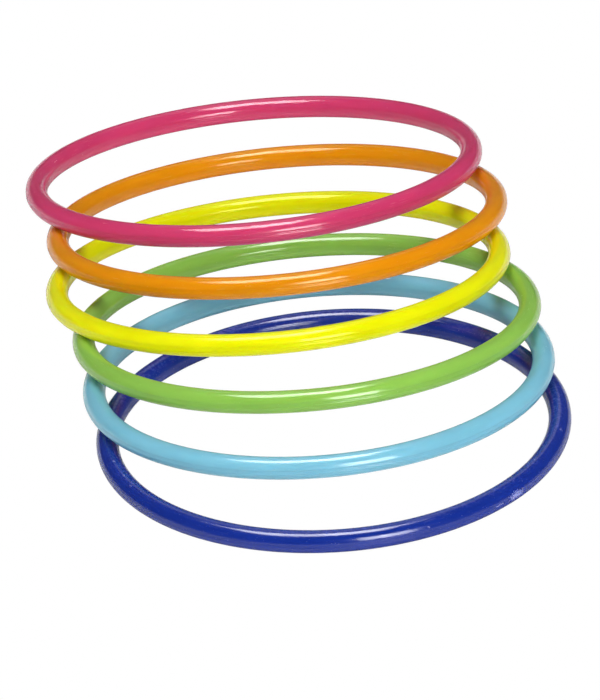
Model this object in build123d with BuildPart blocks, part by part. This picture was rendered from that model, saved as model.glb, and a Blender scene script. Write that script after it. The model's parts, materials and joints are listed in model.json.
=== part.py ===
"""Set of moulded plastic toss rings, lying fallen in a row on a table.

Each ring is one closed hoop of round section. The first ring lies flat. Every later ring
has slid back off the ring before it, and leans on it at the two places where they cross,
with its far side on the table. Millimetres, +Z up, +Y towards the last ring, and the
origin on the table under the middle of the row.
"""

import os
from math import asin, radians, sin, sqrt, tan

from build123d import *

# One ring. All the rings are alike.
OUTER_DIAMETER = 150.0
TUBE_DIAMETER = 7.2
LAND_HEIGHT = 0.8  # narrow flat round the inside and the outside, where the mould halves met

# The row. Each later ring: its name, how far it has slid back (+Y) and sideways (+X).
FIRST_RING = "dark_blue_ring"
SLIDES = [
    ("light_blue_ring", 24.4, -3.4),
    ("green_ring", 27.9, -2.6),
    ("yellow_ring", 30.5, -8.0),
    ("orange_ring", 33.5, 0.8),
    ("pink_ring", 35.7, -6.4),
]
REST_GAP = 0.1  # air left between a ring and the ring it leans on

TUBE_RADIUS = TUBE_DIAMETER / 2
RING_RADIUS = OUTER_DIAMETER / 2 - TUBE_RADIUS  # radius of the tube's centre line
LAND_REACH = sqrt(TUBE_RADIUS**2 - (LAND_HEIGHT / 2) ** 2)  # tube's centre to a land
SOLVER_STEPS = 40  # each step cuts the error to a quarter or less
UP = Vector(0, 0, 1)


def angle_between(one, other):
    return radians(one.get_angle(other))


def dropped_onto(plane, point):
    """The point of a plane straight above or below a point."""
    away = point - plane.origin
    normal = plane.z_dir
    level = plane.origin.Z - (normal.X * away.X + normal.Y * away.Y) / normal.Z
    return Vector(point.X, point.Y, level)


def tube_direction(plane, point):
    """Direction of the tube, of the ring lying in `plane`, above or below a point."""
    return plane.z_dir.cross(dropped_onto(plane, point) - plane.origin)


def leaning_on(lower, slide):
    """Plane of the centre line of a ring that has slid by `slide` off the ring in `lower`.

    Seen from above, the two centre lines cross at two places, `reach` either side of the
    slide. There the tubes lie across each other, and the far side's lowest point is on the
    table. Those three supports fix the ring's two slopes and the height of its centre.
    """
    back = slide.normalized()
    across = Vector(-back.Y, back.X)
    half_slide = slide.length / 2
    reach = sqrt(RING_RADIUS**2 - half_slide**2)
    middle = lower.origin + slide / 2
    over = lower.origin + slide

    upper = Plane(over)
    fall = 0.0  # slope along the slide, downwards
    for _ in range(SOLVER_STEPS):
        levels = []
        for crossing in (middle + across * reach, middle - across * reach):
            apart = tube_direction(lower, crossing).cross(tube_direction(upper, crossing)).normalized()
            stand_off = (TUBE_DIAMETER + REST_GAP) / abs(apart.Z)
            levels.append(dropped_onto(lower, crossing).Z + stand_off)
        roll = (levels[0] - levels[1]) / (2 * reach)  # slope across the slide
        rise = sum(levels) / 2 - TUBE_RADIUS - fall * half_slide
        tilt = asin(rise / RING_RADIUS)
        fall = sqrt(tan(tilt) ** 2 - roll**2)
        centre = Vector(over.X, over.Y, TUBE_RADIUS + RING_RADIUS * sin(tilt))
        upper = Plane(origin=centre, x_dir=(1, 0, 0), z_dir=back * fall - across * roll + UP)
    return upper


def middle_of(planes, direction):
    """Middle of the whole row's extent along a direction."""
    lows, highs = [], []
    for plane in planes:
        along = plane.origin.dot(direction)
        half_extent = RING_RADIUS * sin(angle_between(plane.z_dir, direction)) + TUBE_RADIUS
        lows.append(along - half_extent)
        highs.append(along + half_extent)
    return (min(lows) + max(highs)) / 2


def ring(plane):
    """A ring whose centre line lies in `plane`: its section turned once round the plane's axis."""
    radial = Plane(origin=plane.origin, x_dir=plane.x_dir, z_dir=-plane.y_dir)
    with BuildPart() as hoop:
        with BuildSketch(radial):
            with Locations((RING_RADIUS, 0)):
                Circle(TUBE_RADIUS)
                Rectangle(2 * LAND_REACH, TUBE_DIAMETER, mode=Mode.INTERSECT)
        revolve(axis=Axis(plane.origin, plane.z_dir))
    return hoop


lying = {FIRST_RING: Plane.XY.offset(TUBE_RADIUS)}
lower_ring = FIRST_RING
for ring_name, slid_back, slid_sideways in SLIDES:
    lying[ring_name] = leaning_on(lying[lower_ring], Vector(slid_sideways, slid_back))
    lower_ring = ring_name

row_middle = Vector(*[middle_of(lying.values(), side) for side in (Vector(1, 0, 0), Vector(0, 1, 0))])

os.makedirs("parts", exist_ok=True)
for ring_name, plane in lying.items():
    plane.origin -= row_middle
    hoop = ring(plane)
    hoop.part.label = ring_name
    export_step(hoop.part, f"parts/{ring_name}.step")
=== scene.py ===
"""Six moulded plastic toss rings lying fallen in a row, in soft studio light on a white table.

Every ring is rebuilt round the axis that the frame gives for its hole: a hoop of round
section with the narrow trimmed flat and the fine bead left where the mould halves met.
"""

import json
import math

import bpy
from mathutils import Matrix, Vector


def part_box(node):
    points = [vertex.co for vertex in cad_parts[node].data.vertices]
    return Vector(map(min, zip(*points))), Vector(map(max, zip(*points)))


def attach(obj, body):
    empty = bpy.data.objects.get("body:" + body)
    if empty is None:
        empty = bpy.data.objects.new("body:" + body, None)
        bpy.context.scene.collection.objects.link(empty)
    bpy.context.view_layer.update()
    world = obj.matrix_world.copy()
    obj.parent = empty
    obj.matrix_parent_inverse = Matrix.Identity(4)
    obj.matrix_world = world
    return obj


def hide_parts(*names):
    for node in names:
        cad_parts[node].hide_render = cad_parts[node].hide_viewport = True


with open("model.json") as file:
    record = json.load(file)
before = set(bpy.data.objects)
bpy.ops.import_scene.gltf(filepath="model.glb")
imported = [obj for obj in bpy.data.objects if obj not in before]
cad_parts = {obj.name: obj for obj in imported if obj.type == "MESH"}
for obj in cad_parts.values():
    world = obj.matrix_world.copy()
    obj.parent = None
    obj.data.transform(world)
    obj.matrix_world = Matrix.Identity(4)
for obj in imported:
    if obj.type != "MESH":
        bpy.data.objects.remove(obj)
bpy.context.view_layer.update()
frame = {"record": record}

MM = 0.001

# What every ring shares, from the frame.
RINGS = ("dark_blue", "light_blue", "green", "yellow", "orange", "pink")
HOLES = {mount["name"].removesuffix("_peg_hole"): mount for mount in frame["record"]["mounts"]}
FLAT_LOW, FLAT_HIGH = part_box("dark_blue_ring")
TUBE_RADIUS = (FLAT_HIGH.z - FLAT_LOW.z) / 2
HOLE_RADIUS = HOLES["dark_blue"]["dims"]["r_mm"] * MM
RING_RADIUS = (HOLE_RADIUS + (FLAT_HIGH.x - FLAT_LOW.x) / 2) / 2
LAND_REACH = RING_RADIUS - HOLE_RADIUS  # from the middle of the tube to either flat

# The parting line.
SKIN_INSET = 0.012 * MM  # keeps the whole skin inside the hard model
LAND_HALF = 0.40 * MM  # half the flat's height
LAND_SINK = 0.035 * MM  # the trimmed flat lies this far below the bead's crest
BEAD_HALF = 0.14 * MM  # half the bead's width

# How finely the skin is divided.
AROUND = 540
COARSE_STEP = math.radians(6.0)
FINE_STEP = 0.05 * MM

# A ring's lay is the place on its skin, in metres: two parts round the ring, one round the tube.
# Marks drawn out along the tube have these noise scales in those three directions.
MOTTLE = (60.0, 60.0, 240.0)
HAIRLINES = (150.0, 150.0, 3000.0)
GLOSS_PATCHES = (120.0, 120.0, 900.0)
RIPPLES = (45.0, 45.0, 520.0)
DRAW_LINES = (120.0, 120.0, 1500.0)

# Marks that are alike in every direction have one noise scale.
RUBBED_PATCHES = 28.0
SPECKS = 2600.0
FLAKES = 1700.0
TEARS = 2900.0
# The speckle and patches of the painted reflection: a lighter tone of the dye standing in for the
# blurred reflection of the ring behind.
PAINTED_REFLECTION_SPECKLE = 900.0
PAINTED_REFLECTION_PATCHES = 55.0
PEEL = 1000.0

# The dye's colour is changed by a gain and a lift.
LIGHTER = (1.035, 0.002)
DARKER = (0.965, 0.0)
# Painted reflection: the lighter tone laid over the top of the tube in place of a blurred reflection.
PAINTED_REFLECTION_TONE = (1.5, 0.05)
SCUFFED = (1.6, 0.33)

# The skin's gloss and relief.
GLOSSIEST = 0.10
DULLEST = 0.20
WORN_DULLNESS = 0.6  # roughness that full wear adds
HAIRLINE_WEAR = 0.13
SPECK_WEAR = 0.22
SPECK_CUT = (0.74, 0.80)
PAINTED_REFLECTION_MIDDLE = 1.75  # middle of the painted reflection, in radians up from the outside of the tube, which is just inwards of its top
RIPPLE_HEIGHT = 0.02 * MM
DRAW_HEIGHT = 0.01 * MM
PEEL_HEIGHT = 0.02 * MM
WEAR_HEIGHT = 0.03 * MM

# How far light goes in the plastic.
SUBSURFACE_WEIGHT = 0.5
SUBSURFACE_RADIUS = (1.0, 0.6, 0.5)
SUBSURFACE_SCALE = 2.2 * MM

# One ring's own look, where it isn't as in PLAIN. A mark is a scuff: degrees round the ring, degrees
# round the tube, half its size along and across the tube in millimetres, and its strength.
PLAIN = {"sheen": (1.0, 1.0, 1.0), "ior": 1.50, "grain": 0.1, "dust": 0.0, "painted_reflection": 0.0, "marks": ()}
LOOKS = {
    "dark_blue": {
        "colour": (0.004, 0.024, 0.265),
        "grain": 0.5,
        "dust": 0.02,
        # Painted reflection: a lighter blue over the top of the tube in place of the blurred reflection
        # of the light-blue ring.
        "painted_reflection": 0.60,
        "marks": (
            (317.4, 0.0, 3.3, 1.35, 1.0),
            (311.5, -3.0, 2.0, 0.35, 0.6),
            (346.5, 63.0, 0.8, 0.50, 0.6),
            (330.0, 92.0, 0.6, 0.35, 0.5),
            (291.2, 24.0, 0.5, 0.35, 0.4),
            (193.8, 86.0, 0.6, 0.40, 0.6),
            (201.8, 85.0, 0.6, 0.35, 0.6),
            (207.2, 69.0, 0.7, 0.35, 0.6),
        ),
    },
    "light_blue": {"colour": (0.205, 0.525, 0.670)},
    "green": {"colour": (0.276, 0.540, 0.082)},
    "yellow": {"colour": (0.830, 0.830, 0.001), "sheen": (1.0, 1.0, 0.40), "ior": 1.42},
    "orange": {
        "colour": (0.780, 0.285, 0.001),
        "sheen": (1.0, 0.97, 0.70),
        "ior": 1.44,
        "marks": ((262.0, 25.0, 1.5, 0.12, 0.3),),
    },
    "pink": {
        "colour": (0.630, 0.047, 0.157),
        "marks": (
            (340.0, 131.0, 1.8, 0.15, 0.5),
            (228.0, 60.0, 1.2, 0.12, 0.3),
        ),
    },
}
SEED_STEP = 0.37  # shifts each ring's noise away from the last ring's

# The table, with a pool of light painted on its colour round the rings.
TABLE_HALF = 12.0
TABLE_WHITE = 0.90
# The table's colour outside the painted pool of light: painted shade.
TABLE_PAINTED_DIM = 0.05
TABLE_SHAPE = (1.0, 0.55, 1.0)  # the painted pool of light is longer along Y
TABLE_SHIFT = (0.0, 0.06, 0.0)  # and its middle is in front of the row's
TABLE_PAINTED_POOL = (0.16, 0.44)  # the painted pool of light darkens between these distances from that middle
BOUNCE = 0.25
BOUNCE_FROM = (-0.10, -0.30)  # in front of the rings it sends light up at them
TABLE_ROUGHNESS = 0.5

# The lamps: name, degrees from straight overhead towards +X and towards +Y, width and depth in
# degrees as the rings see them, and radiance.
LAMP_DISTANCE = 2.5
MIRRORED_LAMPS = (
    ("overhead_right", 3.2, 5.0, 15.0, 28.0, 15.0),
    ("overhead_left", -13.0, 4.0, 15.6, 28.0, 12.5),
    ("overhead_back", 0.0, 44.0, 24.0, 38.0, 0.7),
    ("front_near", 17.3, -65.5, 12.4, 27.0, 13.0),
    ("front_far", 30.3, -61.5, 12.4, 27.0, 12.0),
)
SHADING_LAMPS = (
    ("overhead_shade", -5.0, 4.0, 31.0, 28.0, 7.0),
    ("front_shade", 23.5, -63.5, 26.0, 27.0, 8.6),
    ("fill_front", 0.0, -78.0, 70.0, 30.0, 0.55),
    ("fill_left", -65.0, -8.0, 60.0, 40.0, 0.80),
    ("fill_right", 65.0, -8.0, 60.0, 40.0, 0.45),
)
STEEP = 0.6  # a lamp nearer to overhead than this, in radians, is turned to +Y, not upright
ROOM_GLOW = 0.09
WHITE = (1.0, 1.0, 1.0, 1.0)

# The camera.
ELEVATION = math.radians(28.63)
ROLL = math.radians(-4.17)
AIM = Vector((0.001, 0.0, -0.0085))
EYE_DISTANCE = 3.428
LENS = 547.8

# A Mix node's colour sockets, by number because its other kinds of socket share their names.
COLOUR_A = 6
COLOUR_B = 7
COLOUR_RESULT = 2


def node(tree, kind, inputs=None, **settings):
    """A new node with its settings, and with its inputs either set or linked."""
    made = tree.nodes.new(kind)
    for key, value in settings.items():
        setattr(made, key, value)
    for key, value in (inputs or {}).items():
        if isinstance(value, bpy.types.NodeSocket):
            tree.links.new(value, made.inputs[key])
        else:
            made.inputs[key].default_value = value
    return made


def new_material(name):
    material = bpy.data.materials.new(name)
    material.use_nodes = True
    tree = material.node_tree
    return material, tree, tree.nodes["Principled BSDF"]


def scaled(tree, vector, scale):
    return node(tree, "ShaderNodeVectorMath", {0: vector, 1: scale}, operation="MULTIPLY").outputs[0]


def shifted(tree, vector, offset):
    return node(tree, "ShaderNodeVectorMath", {0: vector, 1: offset}, operation="ADD").outputs[0]


def length(tree, vector):
    return node(tree, "ShaderNodeVectorMath", {0: vector}, operation="LENGTH").outputs["Value"]


def math_node(tree, operation, *values):
    return node(tree, "ShaderNodeMath", dict(enumerate(values)), operation=operation).outputs[0]


def noise(tree, vector, scale, detail=2.0, roughness=0.5):
    inputs = {"Vector": vector, "Scale": scale, "Detail": detail, "Roughness": roughness}
    return node(tree, "ShaderNodeTexNoise", inputs).outputs["Fac"]


def drawn_noise(tree, vector, scales, detail=2.0, roughness=0.5):
    """Noise drawn out along the tube."""
    return noise(tree, scaled(tree, vector, scales), 1.0, detail, roughness)


def ramp(tree, value, low, high, low_out=0.0, high_out=1.0, smooth=True):
    made = node(
        tree,
        "ShaderNodeMapRange",
        {"Value": value, "From Min": low, "From Max": high, "To Min": low_out, "To Max": high_out},
        interpolation_type="SMOOTHSTEP" if smooth else "LINEAR",
    )
    return made.outputs["Result"]


def mixed(tree, factor, colour_a, colour_b):
    made = node(
        tree,
        "ShaderNodeMix",
        {"Factor": factor, COLOUR_A: colour_a, COLOUR_B: colour_b},
        data_type="RGBA",
    )
    return made.outputs[COLOUR_RESULT]


def bump(tree, height, strength, distance, normal=None):
    inputs = {"Height": height, "Strength": strength, "Distance": distance}
    if normal is not None:
        inputs["Normal"] = normal
    return node(tree, "ShaderNodeBump", inputs).outputs[0]


def toned(colour, change):
    gain, lift = change
    return (*(min(1.0, gain * c + lift) for c in colour), 1.0)


def lay_point(around_deg, section_deg):
    """Where a place on a ring falls in its lay: angle round the ring, then round the tube."""
    around = math.radians(around_deg)
    return (
        RING_RADIUS * math.cos(around),
        RING_RADIUS * math.sin(around),
        TUBE_RADIUS * math.radians(section_deg),
    )


def scuff(tree, lay, around_deg, section_deg, along, across):
    """A mask that is 1 on the ragged flakes of a scuff, drawn in the ring's own lay."""
    middle = lay_point(around_deg, section_deg)
    away = shifted(tree, lay, tuple(-c for c in middle))
    turned = node(
        tree,
        "ShaderNodeVectorRotate",
        {"Vector": away, "Angle": -math.radians(around_deg)},
        rotation_type="Z_AXIS",
    ).outputs[0]
    far = length(tree, scaled(tree, turned, (0.0, 1 / (along * MM), 1 / (across * MM))))
    flakes = noise(tree, lay, FLAKES, 4.0, 0.75)
    edge = math_node(tree, "ADD", far, ramp(tree, flakes, 0.32, 0.68, 0.9, -0.6, smooth=False))
    torn = ramp(tree, noise(tree, lay, TEARS, 2.0, 0.6), 0.43, 0.53, 0.25, 1.0)
    return math_node(tree, "MULTIPLY", ramp(tree, edge, 1.0, 0.75), torn)


def worn_places(tree, lay, drift, dust, marks):
    """How worn the skin is: hairlines in rubbed patches, scattered specks, and scuffs."""
    hairs = drawn_noise(tree, drift, HAIRLINES, 2.0, 0.6)
    rubbed = ramp(tree, noise(tree, drift, RUBBED_PATCHES, 1.0), 0.45, 0.62)
    hairlines = math_node(tree, "MULTIPLY", ramp(tree, hairs, 0.63, 0.72), rubbed)
    low, high = SPECK_CUT
    specks = ramp(tree, noise(tree, drift, SPECKS, 1.0, 0.4), low - dust, high - dust)
    wear = math_node(
        tree,
        "ADD",
        math_node(tree, "MULTIPLY", hairlines, HAIRLINE_WEAR),
        math_node(tree, "MULTIPLY", specks, SPECK_WEAR),
    )
    for around_deg, section_deg, along, across, strength in marks:
        patch = scuff(tree, lay, around_deg, section_deg, along, across)
        wear = math_node(tree, "MAXIMUM", wear, math_node(tree, "MULTIPLY", patch, strength))
    return wear


def painted_reflection_mask(tree, lay, drift):
    """A patchy, speckled mask of painted reflection over the top of the tube."""
    height = node(tree, "ShaderNodeSeparateXYZ", {0: lay}).outputs["Z"]
    from_middle = math_node(
        tree,
        "ABSOLUTE",
        math_node(tree, "SUBTRACT", height, PAINTED_REFLECTION_MIDDLE * TUBE_RADIUS),
    )
    upper = ramp(tree, from_middle, 0.95 * TUBE_RADIUS, 0.25 * TUBE_RADIUS)
    reflection_speckle = ramp(tree, noise(tree, drift, PAINTED_REFLECTION_SPECKLE, 3.0, 0.7), 0.42, 0.66)
    patchy = ramp(tree, noise(tree, drift, PAINTED_REFLECTION_PATCHES, 2.0), 0.35, 0.6, 0.35, 1.0)
    return math_node(tree, "MULTIPLY", math_node(tree, "MULTIPLY", upper, reflection_speckle), patchy)


def moulded_relief(tree, drift, wear, grain):
    """The skin's normal: broad ripples, finer draw lines, an even grain, and the worn places."""
    rippled = bump(tree, drawn_noise(tree, drift, RIPPLES), 0.5, RIPPLE_HEIGHT)
    drawn = bump(tree, drawn_noise(tree, drift, DRAW_LINES), 0.4, DRAW_HEIGHT, rippled)
    peeled = bump(tree, noise(tree, drift, PEEL, 1.0), grain, PEEL_HEIGHT, drawn)
    return bump(tree, wear, 0.5, WEAR_HEIGHT, peeled)


def plastic(name, seed, colour, sheen, ior, grain, dust, painted_reflection, marks):
    """Glossy dyed plastic: faint flow mottling, drawn-out ripples, hairline scratches, scuffs, and a
    painted reflection over the top of the tube.
    """
    material, tree, shader = new_material(name)
    lay = node(tree, "ShaderNodeAttribute", attribute_name="lay").outputs["Vector"]
    drift = shifted(tree, lay, (seed, 2.0 * seed, 3.0 * seed))

    mottle = ramp(tree, drawn_noise(tree, drift, MOTTLE, 3.0), 0.35, 0.65, smooth=False)
    tone = mixed(tree, mottle, toned(colour, DARKER), toned(colour, LIGHTER))
    # Painted reflection: a lighter tone of the dye over the top of the tube, in place of the reflection
    # of the ring behind.
    if painted_reflection:
        reflection_cover = math_node(tree, "MULTIPLY", painted_reflection_mask(tree, lay, drift), painted_reflection)
        tone = mixed(tree, reflection_cover, tone, toned(colour, PAINTED_REFLECTION_TONE))
    wear = worn_places(tree, lay, drift, dust, marks)
    tone = mixed(tree, wear, tone, toned(colour, SCUFFED))
    tree.links.new(tone, shader.inputs["Base Color"])

    gloss = ramp(tree, drawn_noise(tree, drift, GLOSS_PATCHES, 3.0), 0.3, 0.7, GLOSSIEST, DULLEST)
    rough = math_node(tree, "ADD", gloss, math_node(tree, "MULTIPLY", wear, WORN_DULLNESS))
    tree.links.new(rough, shader.inputs["Roughness"])
    tree.links.new(moulded_relief(tree, drift, wear, grain), shader.inputs["Normal"])

    shader.inputs["IOR"].default_value = ior
    shader.inputs["Specular Tint"].default_value = (*sheen, 1.0)
    shader.inputs["Subsurface Weight"].default_value = SUBSURFACE_WEIGHT
    shader.inputs["Subsurface Radius"].default_value = SUBSURFACE_RADIUS
    shader.inputs["Subsurface Scale"].default_value = SUBSURFACE_SCALE
    return material


def section_angles():
    """Angles round the tube, 0 outwards and 90 degrees up: fine over both flats, coarse between."""
    land_angle = math.asin(LAND_HALF / TUBE_RADIUS)
    fine = round(2 * LAND_HALF / FINE_STEP)
    coarse = round((math.pi - 2 * land_angle) / COARSE_STEP)
    angles = []
    for side in (0.0, math.pi):
        for i in range(fine):
            offset = -LAND_HALF + 2 * LAND_HALF * i / fine
            angles.append(side + math.asin(offset / TUBE_RADIUS))
        for i in range(coarse):
            angles.append(side + land_angle + (math.pi - 2 * land_angle) * i / coarse)
    return angles


def skin_radius(angle):
    """Distance from the middle of the tube to its skin."""
    from_land = TUBE_RADIUS * math.sin(angle)
    if abs(from_land) >= LAND_HALF:
        return TUBE_RADIUS - SKIN_INSET
    crest = 0.5 + 0.5 * math.cos(math.pi * min(1.0, abs(from_land) / BEAD_HALF))
    flat = LAND_REACH - LAND_SINK * (1.0 - crest) - SKIN_INSET
    return flat / abs(math.cos(angle))


def hoop_mesh(name, centre, axis):
    """The skin of a ring about an axis, with its lay stored on every point."""
    side = Vector((1.0, 0.0, 0.0))
    side = (side - axis * side.dot(axis)).normalized()
    front = axis.cross(side)

    angles = section_angles()
    points = []
    lays = []
    for i in range(AROUND):
        around = 2 * math.pi * i / AROUND
        out = side * math.cos(around) + front * math.sin(around)
        for angle in angles:
            reach = skin_radius(angle)
            from_axis = RING_RADIUS + reach * math.cos(angle)
            points.append(centre + out * from_axis + axis * (reach * math.sin(angle)))
            turned = (angle + math.pi / 2) % (2 * math.pi) - math.pi / 2
            lays += RING_RADIUS * math.cos(around), RING_RADIUS * math.sin(around), TUBE_RADIUS * turned

    count = len(angles)
    faces = []
    for i in range(AROUND):
        j = (i + 1) % AROUND
        for a in range(count):
            b = (a + 1) % count
            faces.append((i * count + a, j * count + a, j * count + b, i * count + b))

    mesh = bpy.data.meshes.new(name)
    mesh.from_pydata(points, [], faces)
    mesh.shade_smooth()
    mesh.attributes.new("lay", "FLOAT_VECTOR", "POINT").data.foreach_set("vector", lays)
    return mesh


def placed(name, mesh, material):
    mesh.materials.append(material)
    piece = bpy.data.objects.new(name, mesh)
    bpy.context.collection.objects.link(piece)
    return piece


def ring(name, material):
    hole = HOLES[name]
    mesh = hoop_mesh(f"{name}_hoop", Vector(hole["pos_m"]), -Vector(hole["axis"]))
    piece = placed(f"{name}_hoop", mesh, material)
    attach(piece, name)
    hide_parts(f"{name}_ring")


def white_table():
    """A satin white with a pool of light painted on it, brightest round the rings and painted dark away
    from them; straight to the camera it burns out to white.
    """
    material, tree, shader = new_material("white_table")
    place = node(tree, "ShaderNodeNewGeometry").outputs["Position"]
    away = length(tree, shifted(tree, scaled(tree, place, TABLE_SHAPE), TABLE_SHIFT))
    # Painted pool of light: the table's colour is white round the rings and dark further away.
    painted_pool = ramp(tree, away, *TABLE_PAINTED_POOL, TABLE_WHITE, TABLE_PAINTED_DIM)
    shade = node(tree, "ShaderNodeCombineColor", {"Red": painted_pool, "Green": painted_pool, "Blue": painted_pool}).outputs[0]
    tree.links.new(shade, shader.inputs["Base Color"])
    along = node(tree, "ShaderNodeSeparateXYZ", {0: place}).outputs["Y"]
    bounce = math_node(tree, "MULTIPLY", ramp(tree, along, *BOUNCE_FROM, 0.0, BOUNCE), painted_pool)
    shader.inputs["Emission Color"].default_value = WHITE
    tree.links.new(bounce, shader.inputs["Emission Strength"])
    shader.inputs["Roughness"].default_value = TABLE_ROUGHNESS
    burnt_out = node(tree, "ShaderNodeEmission", {"Color": WHITE, "Strength": 1.0})
    surface = seen_as(tree, shader.outputs[0], burnt_out.outputs[0])
    tree.links.new(surface, tree.nodes["Material Output"].inputs["Surface"])
    return material


def seen_as(tree, real, to_camera):
    """One shader for the camera's own rays, and another for every other ray."""
    path = node(tree, "ShaderNodeLightPath").outputs["Is Camera Ray"]
    return node(tree, "ShaderNodeMixShader", {0: path, 1: real, 2: to_camera}).outputs[0]


def table():
    mesh = bpy.data.meshes.new("table")
    corners = [(x * TABLE_HALF, y * TABLE_HALF, 0) for x, y in ((-1, -1), (1, -1), (1, 1), (-1, 1))]
    mesh.from_pydata(corners, [], [(0, 1, 2, 3)])
    placed("table", mesh, white_table())


def softbox(name, zenith_x, zenith_y, width_deg, depth_deg, radiance):
    """A rectangular lamp facing the rings."""
    zenith = math.radians(math.hypot(zenith_x, zenith_y))
    bearing = math.atan2(zenith_x, zenith_y)
    direction = Vector(
        (math.sin(zenith) * math.sin(bearing), math.sin(zenith) * math.cos(bearing), math.cos(zenith))
    )
    up = Vector((0.0, 1.0, 0.0)) if zenith < STEEP else Vector((0.0, 0.0, 1.0))
    right = up.cross(direction).normalized()
    true_up = direction.cross(right)

    data = bpy.data.lights.new(name, "AREA")
    data.shape = "RECTANGLE"
    data.size = 2 * LAMP_DISTANCE * math.tan(math.radians(width_deg) / 2)
    data.size_y = 2 * LAMP_DISTANCE * math.tan(math.radians(depth_deg) / 2)
    data.energy = radiance * math.pi * data.size * data.size_y
    lamp = bpy.data.objects.new(name, data)
    lamp.location = direction * LAMP_DISTANCE
    lamp.rotation_mode = "QUATERNION"
    lamp.rotation_quaternion = Matrix((right, true_up, direction)).transposed().to_quaternion()
    lamp.visible_camera = False
    bpy.context.collection.objects.link(lamp)
    return lamp


def studio():
    """A dim room, lamps that only show in the rings' gloss, and lamps that only light their dye."""
    world = bpy.data.worlds.new("room")
    world.use_nodes = True
    bpy.context.scene.world = world
    tree = world.node_tree
    room = tree.nodes["Background"]
    room.inputs["Color"].default_value = WHITE
    room.inputs["Strength"].default_value = ROOM_GLOW
    backdrop = node(tree, "ShaderNodeBackground", {"Color": WHITE, "Strength": 1.0})
    surface = seen_as(tree, room.outputs[0], backdrop.outputs[0])
    tree.links.new(surface, tree.nodes["World Output"].inputs[0])
    for lamp in MIRRORED_LAMPS:
        softbox(*lamp).visible_diffuse = False
    for lamp in SHADING_LAMPS:
        softbox(*lamp).visible_glossy = False


def camera():
    """A long lens looking down across the table along +Y, rolled a little."""
    data = bpy.data.cameras.new("camera")
    data.lens = LENS
    data.sensor_width = 36.0
    data.clip_start = 0.1
    data.clip_end = 100.0
    eye = bpy.data.objects.new("camera", data)
    forward = Vector((0.0, math.cos(ELEVATION), -math.sin(ELEVATION)))
    level_right = Vector((1.0, 0.0, 0.0))
    level_up = level_right.cross(forward)
    right = level_right * math.cos(ROLL) + level_up * math.sin(ROLL)
    up = right.cross(forward)
    turn = Matrix((right, up, -forward)).transposed().to_4x4()
    eye.matrix_world = Matrix.Translation(AIM - forward * EYE_DISTANCE) @ turn
    bpy.context.collection.objects.link(eye)
    bpy.context.scene.camera = eye


for number, ring_name in enumerate(RINGS):
    look = PLAIN | LOOKS[ring_name]
    ring(ring_name, plastic(f"{ring_name}_plastic", seed=SEED_STEP * (number + 1), **look))
table()
studio()
camera()
bpy.context.scene.view_settings.view_transform = "Standard"
